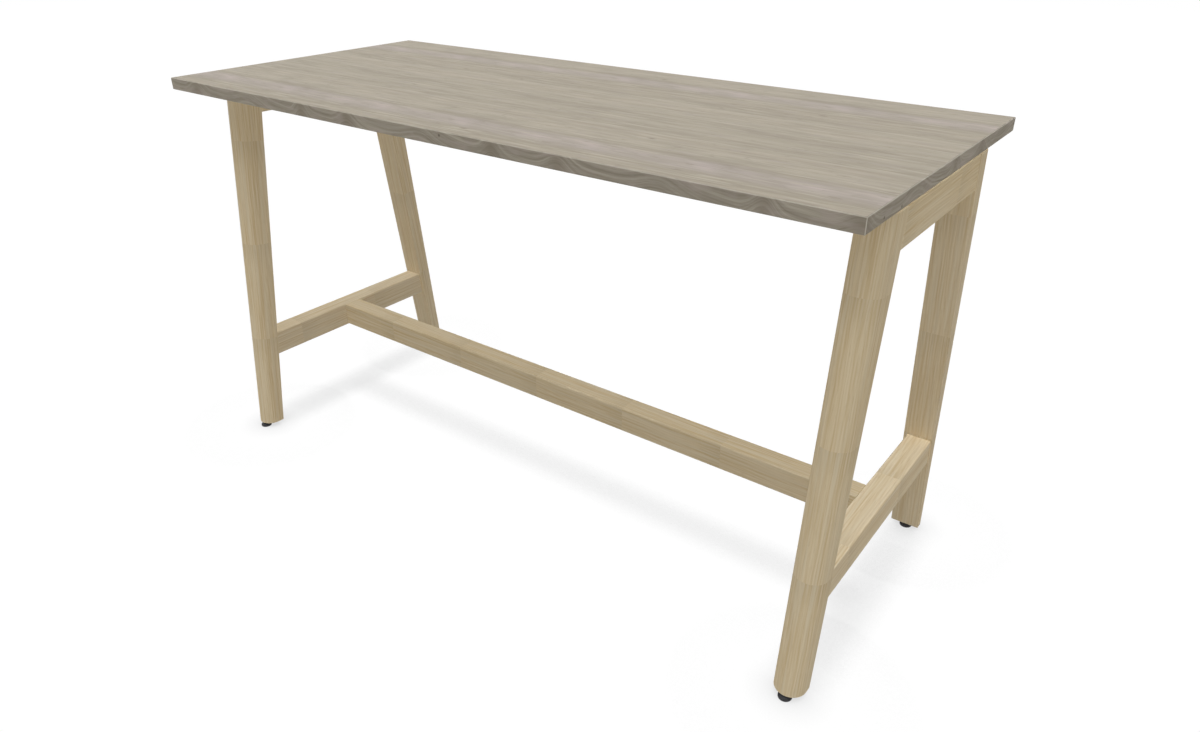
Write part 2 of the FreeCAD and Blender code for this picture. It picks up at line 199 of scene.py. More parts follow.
floor = {
    "reach": 12.0,  # metres out from the middle
    "drop": 0.2 * mm,  # just clear of the feet
    "bounce": "#99948C",  # what the floor gives back to the undersides
    "footReach": 65 * mm,  # how near a foot or a leg's end darkens the sheet
    "footShade": 0.42,
    "footSamples": 16,
    "seam": (120 * mm, 70 * mm),  # foot shade ends between these, so a lowered sheet's step draws no line
    "barReach": (194 * mm, 204 * mm),  # the bars' undersides, 196 and 198 up, are within the second only
    "barShade": 3.6,
    "barSamples": 24,
    "open": 1.008,  # keeps the grain of the shading off the open floor
    "white": "#FFFFFF",
}


def contactPaper():
    # Matt paper sweep. To the eye: plain white, with a painted contact shadow worked out from ambient
    # occlusion: a soft grey close round the feet and a faint one below the bars.
    mat, add = newMaterial("contactPaper")
    near = add("AmbientOcclusion", {"samples": floor["footSamples"], "Distance": floor["footReach"]})
    below, beyond = [add("AmbientOcclusion", {"samples": floor["barSamples"], "Distance": reach})
                     for reach in floor["barReach"]]
    offSeam = add("VectorMath", {"operation": "ABSOLUTE"}, {0: add("TexCoord").outputs["Object"]})
    offSeam = add("SeparateXYZ", {}, {0: offSeam})
    offSeam = add("Math", {"operation": "MINIMUM"}, {0: offSeam.outputs["X"], 1: offSeam.outputs["Y"]})
    away, close = floor["seam"]
    atSeam = add("MapRange", {"From Min": away, "From Max": close}, {"Value": offSeam})
    near = add("Math", {"operation": "MAXIMUM"}, {0: near.outputs["AO"], 1: atSeam})
    shades = {"clamp": False, "To Min": floor["open"] - floor["footShade"], "To Max": floor["open"]}
    shaded = add("MapRange", shades, {"Value": near})
    bars = add("Math", {"operation": "SUBTRACT"}, {0: beyond.outputs["AO"], 1: below.outputs["AO"]})
    tone = add("Math", {"operation": "MULTIPLY_ADD", 1: floor["barShade"]}, {0: bars, 2: shaded})
    paper = add("Emission", {"Color": linear(floor["white"])}, {"Strength": tone})
    matt = add("BsdfDiffuse", {"Color": linear(floor["bounce"])})
    add("OutputMaterial", {}, {"Surface": add("MixShader", {}, {0: seenDirectly(add), 1: matt, 2: paper})})
    return mat


paper = contactPaper()
for place in places:
    low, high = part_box("glide_pad_" + place)
    sideX = math.copysign(floor["reach"], low.x)
    sideY = math.copysign(floor["reach"], low.y)
    corners = [(0, 0), (sideX, 0), (sideX, sideY), (0, sideY)]
    if sideX * sideY < 0:
        corners.reverse()  # keeps the sheet's face upwards
    mesh = bpy.data.meshes.new("floor_" + place)
    mesh.from_pydata([(x, y, -floor["drop"]) for x, y in corners], [], [(0, 1, 2, 3)])
    mesh.materials.append(paper)
    sheet = bpy.data.objects.new("floor_" + place, mesh)
    bpy.context.scene.collection.objects.link(sheet)
    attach(sheet, "pad_" + place)
print("floor laid")


# Frame wood

oak = {
    "staveLength": 250 * mm,
    "staveAside": 30 * mm,  # as much as the figure jumps at a joint
    "staveTint": (0.99, 1.01),
    "endDim": (0.72, 0.94),  # from this share of a stave on it dims to this much at its end
    "pieceRoom": 600 * mm,  # cells as wide as this hold one piece each, so a stave fills its whole section
    "ringGap": 1.7 * mm,
    "ringSlant": (0.012, 0.3, 0.22),  # the small first share draws the long pointed arches
    "ringTone": 0.06,
    "ringRelief": 0.12,
    "wobbleRun": 150 * mm,
    "wobbleWidth": 22 * mm,
    "wobble": 5 * mm,
    "streakRun": 260 * mm,
    "streakWidth": 4.2 * mm,
    "paleRun": 320 * mm,
    "paleWidth": 7 * mm,
    "paleSpan": (0.47, 0.66),  # from no ribbon to a full one
    "paleStrength": 0.5,
    "poreRun": 22 * mm,
    "poreWidth": 1.6 * mm,  # wider than real pores, so that they show
    "poreSpan": (0.6, 0.78),
    "poreStrength": 0.24,
    "speckGap": 120 * mm,
    "speckSize": 0.9 * mm,
    "speckStretch": 0.5,
    "speckStrength": 0.5,
    "curlReach": 20 * mm,  # the grain bends round a pin knot this far off
    "curl": 4 * mm,
    "tones": [(0.32, "#C5AF89"), (0.5, "#CFBD9A"), (0.68, "#D8C9AC")],
    "paleTone": "#D4C9B1",
    "poreTone": "#A98E66",
    "speckTone": "#6E5A40",
    # the paler arrises are partly lacquer wear and partly a painted highlight
    "wornTone": "#E0D6C0",
    "wornReach": 2.2 * mm,
    "wornStrength": 0.7,
    "roughness": (0.7, 0.58),
    "bump": (0.18, 0.4 * mm),
    "shader": {"Specular IOR Level": 0.04, "IOR": 1.5},  # flatter than most lacquer, as in the photo
    "legLean": 6.4,  # degrees from upright
}


def lacqueredOak(name, grain, across, firstJoint, shade, strength):
    # Finger-jointed oak, planed and sealed with a matt lacquer. To the eye: pale beige with fine warm and
    # grey-cream streaks along each piece, a small break in them at every joint, and only a soft sheen.
    mat, add = newMaterial(name)
    turn = Matrix((grain, across, Vector(grain).cross(across))).to_euler()
    place = add("TexCoord").outputs["Object"]
    shift = (-firstJoint, oak["pieceRoom"] / 2, 0)
    run = add("Mapping", {"Rotation": turn, "Location": shift}, {"Vector": place})
    size = (oak["staveLength"], oak["pieceRoom"], oak["pieceRoom"])
    stave = add("VectorMath", {"operation": "SNAP", 1: size}, {0: run})
    chance = add("TexWhiteNoise", {"noise_dimensions": "3D"}, {"Vector": stave})
    inside = add("VectorMath", {"operation": "SUBTRACT"}, {0: run, 1: stave})
    aside = {"operation": "MULTIPLY_ADD", 1: (0, oak["staveAside"], oak["staveAside"])}
    plank = add("VectorMath", aside, {0: chance.outputs["Color"], 2: inside})

    # tiny pin knots, with the grain curling round them
    stretch = (oak["speckStretch"], 1, 1)
    speckAt = add("VectorMath", {"operation": "MULTIPLY", 1: stretch}, {0: plank})
    speck = add("TexVoronoi", {"Scale": 1 / oak["speckGap"]}, {"Vector": speckAt})
    knot = oak["speckSize"] / oak["speckGap"]
    dots = {"From Min": 2 * knot, "From Max": knot, "To Max": oak["speckStrength"]}
    dot = add("MapRange", dots, {"Value": speck})
    reach = oak["curlReach"] / oak["speckGap"]
    curls = {"interpolation_type": "SMOOTHSTEP", "From Min": reach, "From Max": 0.0, "To Max": oak["curl"]}
    curl = add("MapRange", curls, {"Value": speck})
    plank = add("VectorMath", {"operation": "MULTIPLY_ADD", 1: (0, 1, 1)}, {0: curl, 2: plank})

    def alongPlank(kind, detail, shift=0.0):
        return grainNoise(add, plank, (oak[kind + "Run"], *[oak[kind + "Width"]] * 2), detail, shift)

    # growth rings as bent sheets, cut at a slant
    depth = add("VectorMath", {"operation": "DOT_PRODUCT", 1: oak["ringSlant"]}, {0: plank})
    bend = alongPlank("wobble", 2.0)
    ringAt = add("Math", {"operation": "MULTIPLY_ADD", 1: oak["wobble"]}, {0: bend, 2: depth})
    ringTurn = add("Math", {"operation": "MULTIPLY", 1: 2 * math.pi / oak["ringGap"]}, {0: ringAt})
    rings = add("Math", {"operation": "SINE"}, {0: ringTurn})

    # long streaks, paler ribbons, staves that dim at their ends, then the open pores as short dark dashes
    streak = alongPlank("streak", 4.0)
    figure = add("Math", {"operation": "MULTIPLY_ADD", 1: oak["ringTone"]}, {0: rings, 2: streak})
    wood = add("ValToRGB", {"ramp": oak["tones"]}, {"Fac": figure})
    first, full = oak["paleSpan"]
    ribbons = {"From Min": first, "From Max": full, "To Max": oak["paleStrength"]}
    ribbon = add("MapRange", ribbons, {"Value": alongPlank("pale", 3.0, 7)})
    wood = add("Mix", {"data_type": "RGBA", "B": linear(oak["paleTone"])}, {"Factor": ribbon, "A": wood})
    darkest, palest = oak["staveTint"]
    tints = {"To Min": darkest * shade, "To Max": palest * shade}
    tint = add("MapRange", tints, {"Value": chance.outputs["Value"]})
    wood = add("HueSaturation", {"Saturation": strength}, {"Color": wood, "Value": tint})
    share, dim = oak["endDim"]
    fade = {"interpolation_type": "SMOOTHSTEP", "From Min": share * oak["staveLength"],
            "From Max": oak["staveLength"], "To Min": 1.0, "To Max": dim}
    ending = add("MapRange", fade, {"Value": add("SeparateXYZ", {}, {0: inside}).outputs["X"]})
    wood = add("HueSaturation", {}, {"Color": wood, "Value": ending})
    first, full = oak["poreSpan"]
    pores = {"From Min": first, "From Max": full, "To Max": oak["poreStrength"]}
    pits = add("MapRange", pores, {"Value": alongPlank("pore", 1.0)})
    wood = add("Mix", {"data_type": "RGBA", "B": linear(oak["poreTone"])}, {"Factor": pits, "A": wood})
    wood = add("Mix", {"data_type": "RGBA", "B": linear(oak["speckTone"])}, {"Factor": dot, "A": wood})

    # lacquer worn paler along the arrises, with a painted highlight there as well
    worn = rubbedEdges(add, oak)
    rubbed = add("Math", {"operation": "MULTIPLY"}, {0: worn, 1: streak})
    wood = add("Mix", {"data_type": "RGBA", "B": linear(oak["wornTone"])}, {"Factor": rubbed, "A": wood})
    relief = add("Math", {"operation": "MULTIPLY_ADD", 1: oak["ringRelief"]}, {0: rings, 2: streak})
    relief = add("Math", {"operation": "SUBTRACT"}, {0: relief, 1: pits})
    finishSurface(add, oak, wood, streak, relief)
    return mat


lean = math.radians(oak["legLean"])
upFront, upBack = (0, math.sin(lean), math.cos(lean)), (0, -math.sin(lean), math.cos(lean))
# shade makes each piece's copy of the oak paler or darker, partly painted light and shade: the rails and
# right cross bar paler, the left cross bar darker under the top
pieces = (  # name, grain, across it, first joint, shade, strength of colour, nodes
    ("FrontLegs", upFront, (1, 0, 0), -31 * mm, 1.055, 0.99, ("leg_front_left", "leg_front_right")),
    ("BackLegs", upBack, (1, 0, 0), -18 * mm, 1.035, 0.95, ("leg_back_left", "leg_back_right")),
    ("Rails", (0, -1, 0), (0, 0, 1), -78 * mm, 1.085, 1.0, ("top_rail_left", "top_rail_right")),
    ("LeftCrossBar", (0, -1, 0), (0, 0, 1), -78 * mm, 1.0, 0.9, ("cross_bar_left",)),
    ("RightCrossBar", (0, -1, 0), (0, 0, 1), -78 * mm, 1.09, 0.93, ("cross_bar_right",)),
    ("Footrest", (1, 0, 0), (0, 1, 0), -50 * mm, 0.95, 0.98, ("footrest_bar",)),
)
for name, grain, across, joint, shade, strength, nodes in pieces:
    dress(lacqueredOak("lacqueredOak" + name, grain, across, joint, shade, strength), *nodes)
print("frame wood dressed")


# Tabletop decor

melamine = {
    "repeat": 500 * mm,  # the printed paper starts again after this, both ways
    "backEdge": 350 * mm,
    "bands": [  # where each starts, as a share of the repeat
        (0.0, "beige"), (0.13, "cream"), (0.18, "olive"), (0.22, "lilac"), (0.27, "lilac"), (0.33, "olive"),
        (0.41, "beige"), (0.49, "olive"), (0.54, "cream"), (0.6, "beige"), (0.68, "cream"), (0.78, "olive"),
        (0.87, "cream"), (0.93, "olive"), (0.99, "cream"),
    ],
    "wanderRun": 110 * mm,
    "wanderWidth": 60 * mm,
    "wander": 22 * mm,
    "patchRow": (0.245, 0.06),  # middle and half width of the lilac band, as shares of the repeat
    "patchCore": 0.3,  # patches are at their fullest within this share of the half width
    "patchRun": 90 * mm,
    "patchWidth": 26 * mm,
    "patchSpan": (0.4, 0.62),
    "patchStrength": 0.9,
    "streakRun": 110 * mm,
    "streakWidth": 10 * mm,
    "streakTint": (0.875, 1.125),
    "marks": (  # length, width, detail, shift, values with none and the most, strength, tone
        (70 * mm, 9 * mm, 2.0, 23, 0.54, 0.7, 0.7, "lilac"),
        (130 * mm, 6 * mm, 1.0, 11, 0.57, 0.7, 0.8, "lineTone"),
        (26 * mm, 9 * mm, 2.0, 17, 0.6, 0.8, 0.5, "smudgeTone"),
    ),
    "fineRun": 60 * mm,
    "fineWidth": 2.4 * mm,  # wider than the printed fibre, so that it shows
    "fineTint": (0.955, 1.045),
    "knotGap": 240 * mm,
    "knotLength": 7 * mm,
    "knotStretch": 0.4,
    "knotStrength": 0.6,
    "beige": "#A9A091",
    "olive": "#A39B8C",
    "lilac": "#A9A096",
    "cream": "#ADA596",
    "patchTone": "#B7ACA6",
    "lineTone": "#B9B1A1",
    "smudgeTone": "#8C8477",
    "knotTone": "#736B5F",
    "roughness": (0.6, 0.5),
    "bump": (0.1, 0.15 * mm),
    "shader": {"Specular IOR Level": 0.04, "IOR": 1.5},
}


def elmMelamine():
    # Melamine-faced board with a printed weathered-elm decor, pressed matt. To the eye: grey-beige, with
    # long olive, lilac and cream bands along the table, finer streaks with soft ends, grey smudges and
    # few pin knots.
    mat, add = newMaterial("elmMelamine")
    place = add("TexCoord").outputs["Object"]
    part = add("SeparateXYZ", {}, {0: place})
    turn = add("Math", {"operation": "MULTIPLY", 1: 2 * math.pi / melamine["repeat"]}, {0: part.outputs["X"]})
    east, north = [add("Math", {"operation": kind}, {0: turn}) for kind in ("COSINE", "SINE")]
    fromBack = add("Math", {"operation": "SUBTRACT", 0: melamine["backEdge"]}, {1: part.outputs["Y"]})
    row = add("Math", {"operation": "MODULO", 1: melamine["repeat"]}, {0: fromBack})
    circle = melamine["repeat"] / (2 * math.pi)  # once round it is one repeat along the table
    lap = add("CombineXYZ", {}, {"X": east, "Y": north, "Z": row})
    sheetAt = add("VectorMath", {"operation": "MULTIPLY", 1: (circle, circle, 1)}, {0: lap})

    def alongSheet(kind, detail, shift):
        run, width = melamine[kind + "Run"], melamine[kind + "Width"]
        return grainNoise(add, sheetAt, (run, run, width), detail, shift)

    # bands in the order in which the paper shows them, a little wavy
    wave = add("Math", {"operation": "SUBTRACT", 1: 0.5}, {0: alongSheet("wander", 2.0, 3)})
    waved = add("Math", {"operation": "MULTIPLY_ADD", 1: melamine["wander"]}, {0: wave, 2: row})
    share = add("Math", {"operation": "MULTIPLY", 1: 1 / melamine["repeat"]}, {0: waved})
    bands = [(start, melamine[tone]) for start, tone in melamine["bands"]]
    decor = add("ValToRGB", {"ramp": bands}, {"Fac": share})

    # paler lilac patches along the lilac band
    middle, half = melamine["patchRow"]
    offRow = add("Math", {"operation": "SUBTRACT", 1: middle}, {0: share})
    offRow = add("Math", {"operation": "ABSOLUTE"}, {0: offRow})
    rows = {"From Min": half, "From Max": melamine["patchCore"] * half, "To Max": melamine["patchStrength"]}
    onRow = add("MapRange", rows, {"Value": offRow})
    none, full = melamine["patchSpan"]
    patch = add("MapRange", {"From Min": none, "From Max": full}, {"Value": alongSheet("patch", 2.0, 31)})
    patch = add("Math", {"operation": "MULTIPLY"}, {0: patch, 1: onRow})
    patched = {"data_type": "RGBA", "B": linear(melamine["patchTone"])}
    decor = add("Mix", patched, {"Factor": patch, "A": decor})

    # streaks, then lilac dashes, cream lines and grey smudges
    dark, pale = melamine["streakTint"]
    tints = {**noiseSpan, "To Min": dark, "To Max": pale}
    value = add("MapRange", tints, {"Value": alongSheet("streak", 5.0, 5)})
    decor = add("HueSaturation", {}, {"Color": decor, "Value": value})
    for run, width, detail, shift, none, full, most, tone in melamine["marks"]:
        mark = grainNoise(add, sheetAt, (run, run, width), detail, shift)
        mark = add("MapRange", {"From Min": none, "From Max": full, "To Max": most}, {"Value": mark})
        decor = add("Mix", {"data_type": "RGBA", "B": linear(melamine[tone])}, {"Factor": mark, "A": decor})

    # fine fibre, and pin knots drawn out along the grain
    fine = grainNoise(add, place, (melamine["fineRun"], melamine["fineWidth"], 0), 2.0)
    dark, pale = melamine["fineTint"]
    fibre = add("MapRange", {**noiseSpan, "To Min": dark, "To Max": pale}, {"Value": fine})
    decor = add("HueSaturation", {}, {"Color": decor, "Value": fibre})
    stretch = (melamine["knotStretch"], 1, 0)
    knotAt = add("VectorMath", {"operation": "MULTIPLY", 1: stretch}, {0: place})
    cells = {"voronoi_dimensions": "2D", "Scale": 1 / melamine["knotGap"]}
    knot = add("TexVoronoi", cells, {"Vector": knotAt})
    spot = melamine["knotStretch"] * melamine["knotLength"] / melamine["knotGap"]
    dots = {"From Min": 1.6 * spot, "From Max": 0.2 * spot, "To Max": melamine["knotStrength"]}
    dot = add("MapRange", dots, {"Value": knot})
    decor = add("Mix", {"data_type": "RGBA", "B": linear(melamine["knotTone"])}, {"Factor": dot, "A": decor})
    finishSurface(add, melamine, decor, fine, fine)
    return mat


dress(elmMelamine(), "tabletop_board")
print("tabletop dressed")


# Edge bands

edging = {
    "repeat": 500 * mm,
    "flames": (  # where it stands, how pointed it is, how high it rises
        (460 * mm, 30, 22 * mm), (150 * mm, 10, 20 * mm), (320 * mm, 50, 24 * mm),
    ),
    "slope": 0.1,
    "driftRun": 240 * mm,
    "drift": 24 * mm,  # as much as a flame stands off its even place
    "wobbleRun": 55 * mm,
    "wobbleWidth": 16 * mm,
    "wobble": 5 * mm,
    "lineRun": 300 * mm,
    "lineWidth": 4.2 * mm,  # wider than the printed lines, so that they show
    "fibreRun": 90 * mm,
    "fibreWidth": 3.2 * mm,
    "fibreShare": 0.25,
    "lilacSpan": (0.5, 0.66),
    "lilacStrength": 0.55,
    "corePoint": 2.5,  # draws the cores in from the narrow flames
    "coreStrength": 0.8,
    "knotGap": 130 * mm,
    "knotSize": 1.7 * mm,
    "knotStrength": 0.8,
    "tones": [(0.3, "#888173"), (0.5, "#A0998C"), (0.7, "#B8B1A2")],
    "lilac": "#AFA49C",
    "coreTone": "#7D7466",
    "knotTone": "#5F584E",
    "wornTone": "#D8D3C7",
    "wornStrength": (0.8, 0.3),  # on the upright corners, on the level edges
    "roughness": (0.66, 0.54),
    "bump": (0.1, 0.15 * mm),
    "shader": {"Specular IOR Level": 0.04, "IOR": 1.5},
}


def absEdging():
    # ABS edging, extruded and printed to match the decor, then trimmed and scraped. To the eye: darker than
    # the top, with arched flames along the band, brown cores, a few pin knots, and a paler line round the
    # rounding, partly scraped and partly a painted highlight.
    mat, add = newMaterial("absEdging")
    place = add("TexCoord").outputs["Object"]
    part = add("SeparateXYZ", {}, {0: place})
    along = add("Math", {"operation": "ADD"}, {0: part.outputs["X"], 1: part.outputs["Y"]})
    strip = add("CombineXYZ", {}, {"X": along, "Y": part.outputs["Z"]})

    # flames: humps that lift the lines of the print
    drift = grainNoise(add, strip, (edging["driftRun"], 0, 0), 1.0)
    drifted = add("Math", {"operation": "MULTIPLY_ADD", 1: edging["drift"]}, {0: drift, 2: along})
    flame = add("Math", {"operation": "MULTIPLY_ADD", 1: edging["slope"]}, {0: along, 2: part.outputs["Z"]})
    peaks = []
    perRun = 2 * math.pi / edging["repeat"]
    for start, point, rise in edging["flames"]:
        turned = {"operation": "MULTIPLY_ADD", 1: perRun, 2: -perRun * start}
        swing = add("Math", {"operation": "COSINE"}, {0: add("Math", turned, {0: drifted})})
        swing = add("MapRange", {"From Min": -1.0}, {"Value": swing})
        peaks.append(add("Math", {"operation": "POWER", 1: point}, {0: swing}))
        flame = add("Math", {"operation": "MULTIPLY_ADD", 1: -rise}, {0: peaks[-1], 2: flame})
    bend = grainNoise(add, strip, (edging["wobbleRun"], edging["wobbleWidth"], 0), 2.0)
    flame = add("Math", {"operation": "MULTIPLY_ADD", 1: edging["wobble"]}, {0: bend, 2: flame})
    flameAt = add("CombineXYZ", {}, {"X": along, "Y": flame})

    # lines and fibre, lilac parts, brown cores and pin knots
    lines = grainNoise(add, flameAt, (edging["lineRun"], edging["lineWidth"], 0), 4.0, 9)
    fibre = grainNoise(add, strip, (edging["fibreRun"], edging["fibreWidth"], 0), 4.0)
    figure = add("Mix", {"Factor": edging["fibreShare"]}, {"A": lines, "B": fibre})
    decor = add("ValToRGB", {"ramp": edging["tones"]}, {"Fac": figure})
    none, full = edging["lilacSpan"]
    pinks = {"From Min": none, "From Max": full, "To Max": edging["lilacStrength"]}
    pink = add("MapRange", pinks, {"Value": bend})
    decor = add("Mix", {"data_type": "RGBA", "B": linear(edging["lilac"])}, {"Factor": pink, "A": decor})
    core = add("Math", {"operation": "ADD"}, {0: peaks[0], 1: peaks[2]})
    core = add("Math", {"operation": "POWER", 1: edging["corePoint"]}, {0: core})
    core = add("Math", {"operation": "MULTIPLY", 1: edging["coreStrength"]}, {0: core})
    core = add("Math", {"operation": "MULTIPLY"}, {0: core, 1: fibre})
    decor = add("Mix", {"data_type": "RGBA", "B": linear(edging["coreTone"])}, {"Factor": core, "A": decor})
    cells = {"voronoi_dimensions": "2D", "Scale": 1 / edging["knotGap"]}
    knot = add("TexVoronoi", cells, {"Vector": strip})
    spot = edging["knotSize"] / edging["knotGap"]
    dots = {"From Min": 2 * spot, "From Max": 0.5 * spot, "To Max": edging["knotStrength"]}
    dot = add("MapRange", dots, {"Value": knot})
    decor = add("Mix", {"data_type": "RGBA", "B": linear(edging["knotTone"])}, {"Factor": dot, "A": decor})

    # the rounding, partly scraped and partly painted highlight, is where the surface faces between two of the
    # table's directions
    face = add("NewGeometry")
    facing = add("VectorMath", {"operation": "ABSOLUTE"}, {0: face.outputs["Normal"]})
    facing = add("SeparateXYZ", {}, {0: facing}).outputs
    squarest = add("Math", {"operation": "MAXIMUM"}, {0: facing["X"], 1: facing["Y"]})
    squarest = add("Math", {"operation": "MAXIMUM"}, {0: squarest, 1: facing["Z"]})
    corner, edge = edging["wornStrength"]
    most = add("MapRange", {"From Max": 0.4, "To Min": corner, "To Max": edge}, {"Value": facing["Z"]})
    scraped = add("MapRange", {"From Min": 0.98, "From Max": 0.82}, {"Value": squarest, "To Max": most})
    worn = {"data_type": "RGBA", "B": linear(edging["wornTone"])}
    decor = add("Mix", worn, {"Factor": scraped, "A": decor})
    finishSurface(add, edging, decor, fibre, fibre)
    return mat


dress(absEdging(), *["edge_band_" + side for side in ("front", "back", "left", "right")])
print("edge bands dressed")


# Finishes of the feet and the fittings

nylon = {
    "gritSize": 0.7 * mm,  # several times the real grit, so that it shows
    "gritShare": 0.4,
    "cloudSize": 14 * mm,
    "tones": [(0.3, "#29292B"), (0.5, "#313133"), (0.7, "#3A3A3C")],
    "wornTone": "#5C5C5E",
    "wornReach": 0.7 * mm,
    "wornStrength": 0.8,
    "roughness": (0.5, 0.64),
    "bump": (0.25, 0.1 * mm),
    "shader": {"Specular IOR Level": 0.3, "IOR": 1.53},
}


def mouldedNylon():
    # Nylon, injection moulded in a spark-eroded tool. To the eye: near-black grey with an even fine grit,
    # soft broad highlights, and paler rubbed rims.
    mat, add = newMaterial("mouldedNylon")
    place = add("TexCoord").outputs["Object"]
    grit = add("TexNoise", {"Scale": 1 / nylon["gritSize"], "Detail": 2.0}, {"Vector": place})
    cloud = add("TexNoise", {"Scale": 1 / nylon["cloudSize"], "Detail": 3.0}, {"Vector": place})
    mottle = add("Mix", {"Factor": nylon["gritShare"]}, {"A": cloud, "B": grit})
    tone = add("ValToRGB", {"ramp": nylon["tones"]}, {"Fac": mottle})
    worn = add("Math", {"operation": "MULTIPLY"}, {0: rubbedEdges(add, nylon), 1: cloud})
    tone = add("Mix", {"data_type": "RGBA", "B": linear(nylon["wornTone"])}, {"Factor": worn, "A": tone})
    finishSurface(add, nylon, tone, mottle, grit)
    return mat


blackZinc = {
    "stainSize": 5 * mm,
    "scratchRun": 9 * mm,
    "scratchWidth": 0.5 * mm,  # wider than real ones, so that they show
    "tones": [(0.3, "#2E2F31"), (0.5, "#393A3D"), (0.7, "#434549")],
    "wornTone": "#8F9296",
    "wornReach": 0.5 * mm,
    "wornStrength": 1.0,
    "roughness": (0.36, 0.54),
    "bump": (0.15, 0.05 * mm),
    "shader": {"Metallic": 0.9},
}


def blackZincSteel():
    # Steel, turned, then zinc plated and passivated black. To the eye: dark grey metal with a dull sheen,
    # faint stains, and bright steel where a spanner has rubbed the corners.
    mat, add = newMaterial("blackZincSteel")
    place = add("TexCoord").outputs["Object"]
    stain = add("TexNoise", {"Scale": 1 / blackZinc["stainSize"], "Detail": 4.0}, {"Vector": place})
    tone = add("ValToRGB", {"ramp": blackZinc["tones"]}, {"Fac": stain})
    scale = (1 / blackZinc["scratchRun"], 1 / blackZinc["scratchRun"], 1 / blackZinc["scratchWidth"])
    scratchAt = add("VectorMath", {"operation": "MULTIPLY", 1: scale}, {0: place})
    scratch = add("TexNoise", {"Scale": 1.0, "Detail": 2.0}, {"Vector": scratchAt})
    worn = add("Math", {"operation": "MULTIPLY"}, {0: rubbedEdges(add, blackZinc), 1: scratch})
    tone = add("Mix", {"data_type": "RGBA", "B": linear(blackZinc["wornTone"])}, {"Factor": worn, "A": tone})
    finishSurface(add, blackZinc, tone, scratch, scratch)
    return mat


zinc = {
    "spangleSize": 1.6 * mm,  # coarser than the real crystals, so that they show
    "spangleShare": 0.3,
    "stainSize": 9 * mm,
    "tones": [(0.2, "#A9ACAE"), (0.5, "#BBBEBF"), (0.8, "#CACBC8")],
    "wornTone": "#D8D9D8",
    "wornReach": 0.4 * mm,
    "wornStrength": 0.6,
    "sheenSpan": {"From Max": 0.8},  # crystals start at nought, unlike a noise
    "roughness": (0.28, 0.44),
    "bump": (0.08, 0.05 * mm),
    "shader": {"Metallic": 1.0},
}


def zincPlatedSteel():
    # Steel and die-cast zinc with a bright zinc plating. To the eye: cool pale grey metal, slightly cloudy,
    # with fine crystals in the sheen and brighter edges.
    mat, add = newMaterial("zincPlatedSteel")
    place = add("TexCoord").outputs["Object"]
    spangle = add("TexVoronoi", {"Scale": 1 / zinc["spangleSize"]}, {"Vector": place})
    stain = add("TexNoise", {"Scale": 1 / zinc["stainSize"], "Detail": 3.0}, {"Vector": place})
    cloud = add("Mix", {"Factor": zinc["spangleShare"]}, {"A": stain, "B": spangle})
    tone = add("ValToRGB", {"ramp": zinc["tones"]}, {"Fac": cloud})
    worn = rubbedEdges(add, zinc)
    tone = add("Mix", {"data_type": "RGBA", "B": linear(zinc["wornTone"])}, {"Factor": worn, "A": tone})
    finishSurface(add, zinc, tone, cloud, spangle, zinc["sheenSpan"])
    return mat


beech = {
    "fibreRun": 30 * mm,
    "fibreWidth": 1.4 * mm,
    "fleckRun": 2.6 * mm,
    "fleckWidth": 0.6 * mm,  # wider than real ray flecks, so that they show
    "fleckSpan": (0.62, 0.75),
    "fleckStrength": 0.6,
    "tones": [(0.3, "#C9A06E"), (0.5, "#D6B284"), (0.7, "#E0C299")],
    "fleckTone": "#A9794A",
    "wornTone": "#EAD4B4",
    "wornReach": 0.6 * mm,
    "wornStrength": 0.5,
    "roughness": (0.7, 0.82),
    "bump": (0.2, 0.1 * mm),
    "shader": {"Specular IOR Level": 0.2, "IOR": 1.5},
}


def bareBeech(name, grain):
    # Beech, rolled with flutes and left bare. To the eye: pinkish tan, straight fine fibre, short brown ray
    # flecks, matt all over and fluffed paler at the edges.
    mat, add = newMaterial(name)
    place = add("TexCoord").outputs["Object"]
    fibreScale = [1 / beech["fibreRun"] if g else 1 / beech["fibreWidth"] for g in grain]
    fibreAt = add("VectorMath", {"operation": "MULTIPLY", 1: fibreScale}, {0: place})
    fibre = add("TexNoise", {"Scale": 1.0, "Detail": 3.0}, {"Vector": fibreAt})
    tone = add("ValToRGB", {"ramp": beech["tones"]}, {"Fac": fibre})
    fleckScale = [1 / beech["fleckRun"] if g else 1 / beech["fleckWidth"] for g in grain]
    fleckAt = add("VectorMath", {"operation": "MULTIPLY", 1: fleckScale}, {0: place})
    fleck = add("TexNoise", {"Scale": 1.0, "Detail": 1.0}, {"Vector": fleckAt})
    none, full = beech["fleckSpan"]
    flecks = {"From Min": none, "From Max": full, "To Max": beech["fleckStrength"]}
    ray = add("MapRange", flecks, {"Value": fleck})
    tone = add("Mix", {"data_type": "RGBA", "B": linear(beech["fleckTone"])}, {"Factor": ray, "A": tone})
    worn = rubbedEdges(add, beech)
    tone = add("Mix", {"data_type": "RGBA", "B": linear(beech["wornTone"])}, {"Factor": worn, "A": tone})
    finishSurface(add, beech, tone, fibre, fibre)
    return mat


blackNylon = mouldedNylon()
studSteel = blackZincSteel()
brightZinc = zincPlatedSteel()
crossBeech = bareBeech("bareBeechCrossDowels", (0, 1, 0))
longBeech = bareBeech("bareBeechFootrestDowels", (1, 0, 0))
dress(brightZinc, "footrest_cam_barrels")
print("finishes of the fittings made")


# Turned pieces: rings of points round an axis, in millimetres

turning = {
    "sharpAngle": 35,  # degrees, edges that bend less are shaded smooth
    "threadSlope": 1.3,  # more than 1 leaves a little flat on crest and root
    "weld": 0.02 * mm,  # points of a CAD solid nearer than this are one
}


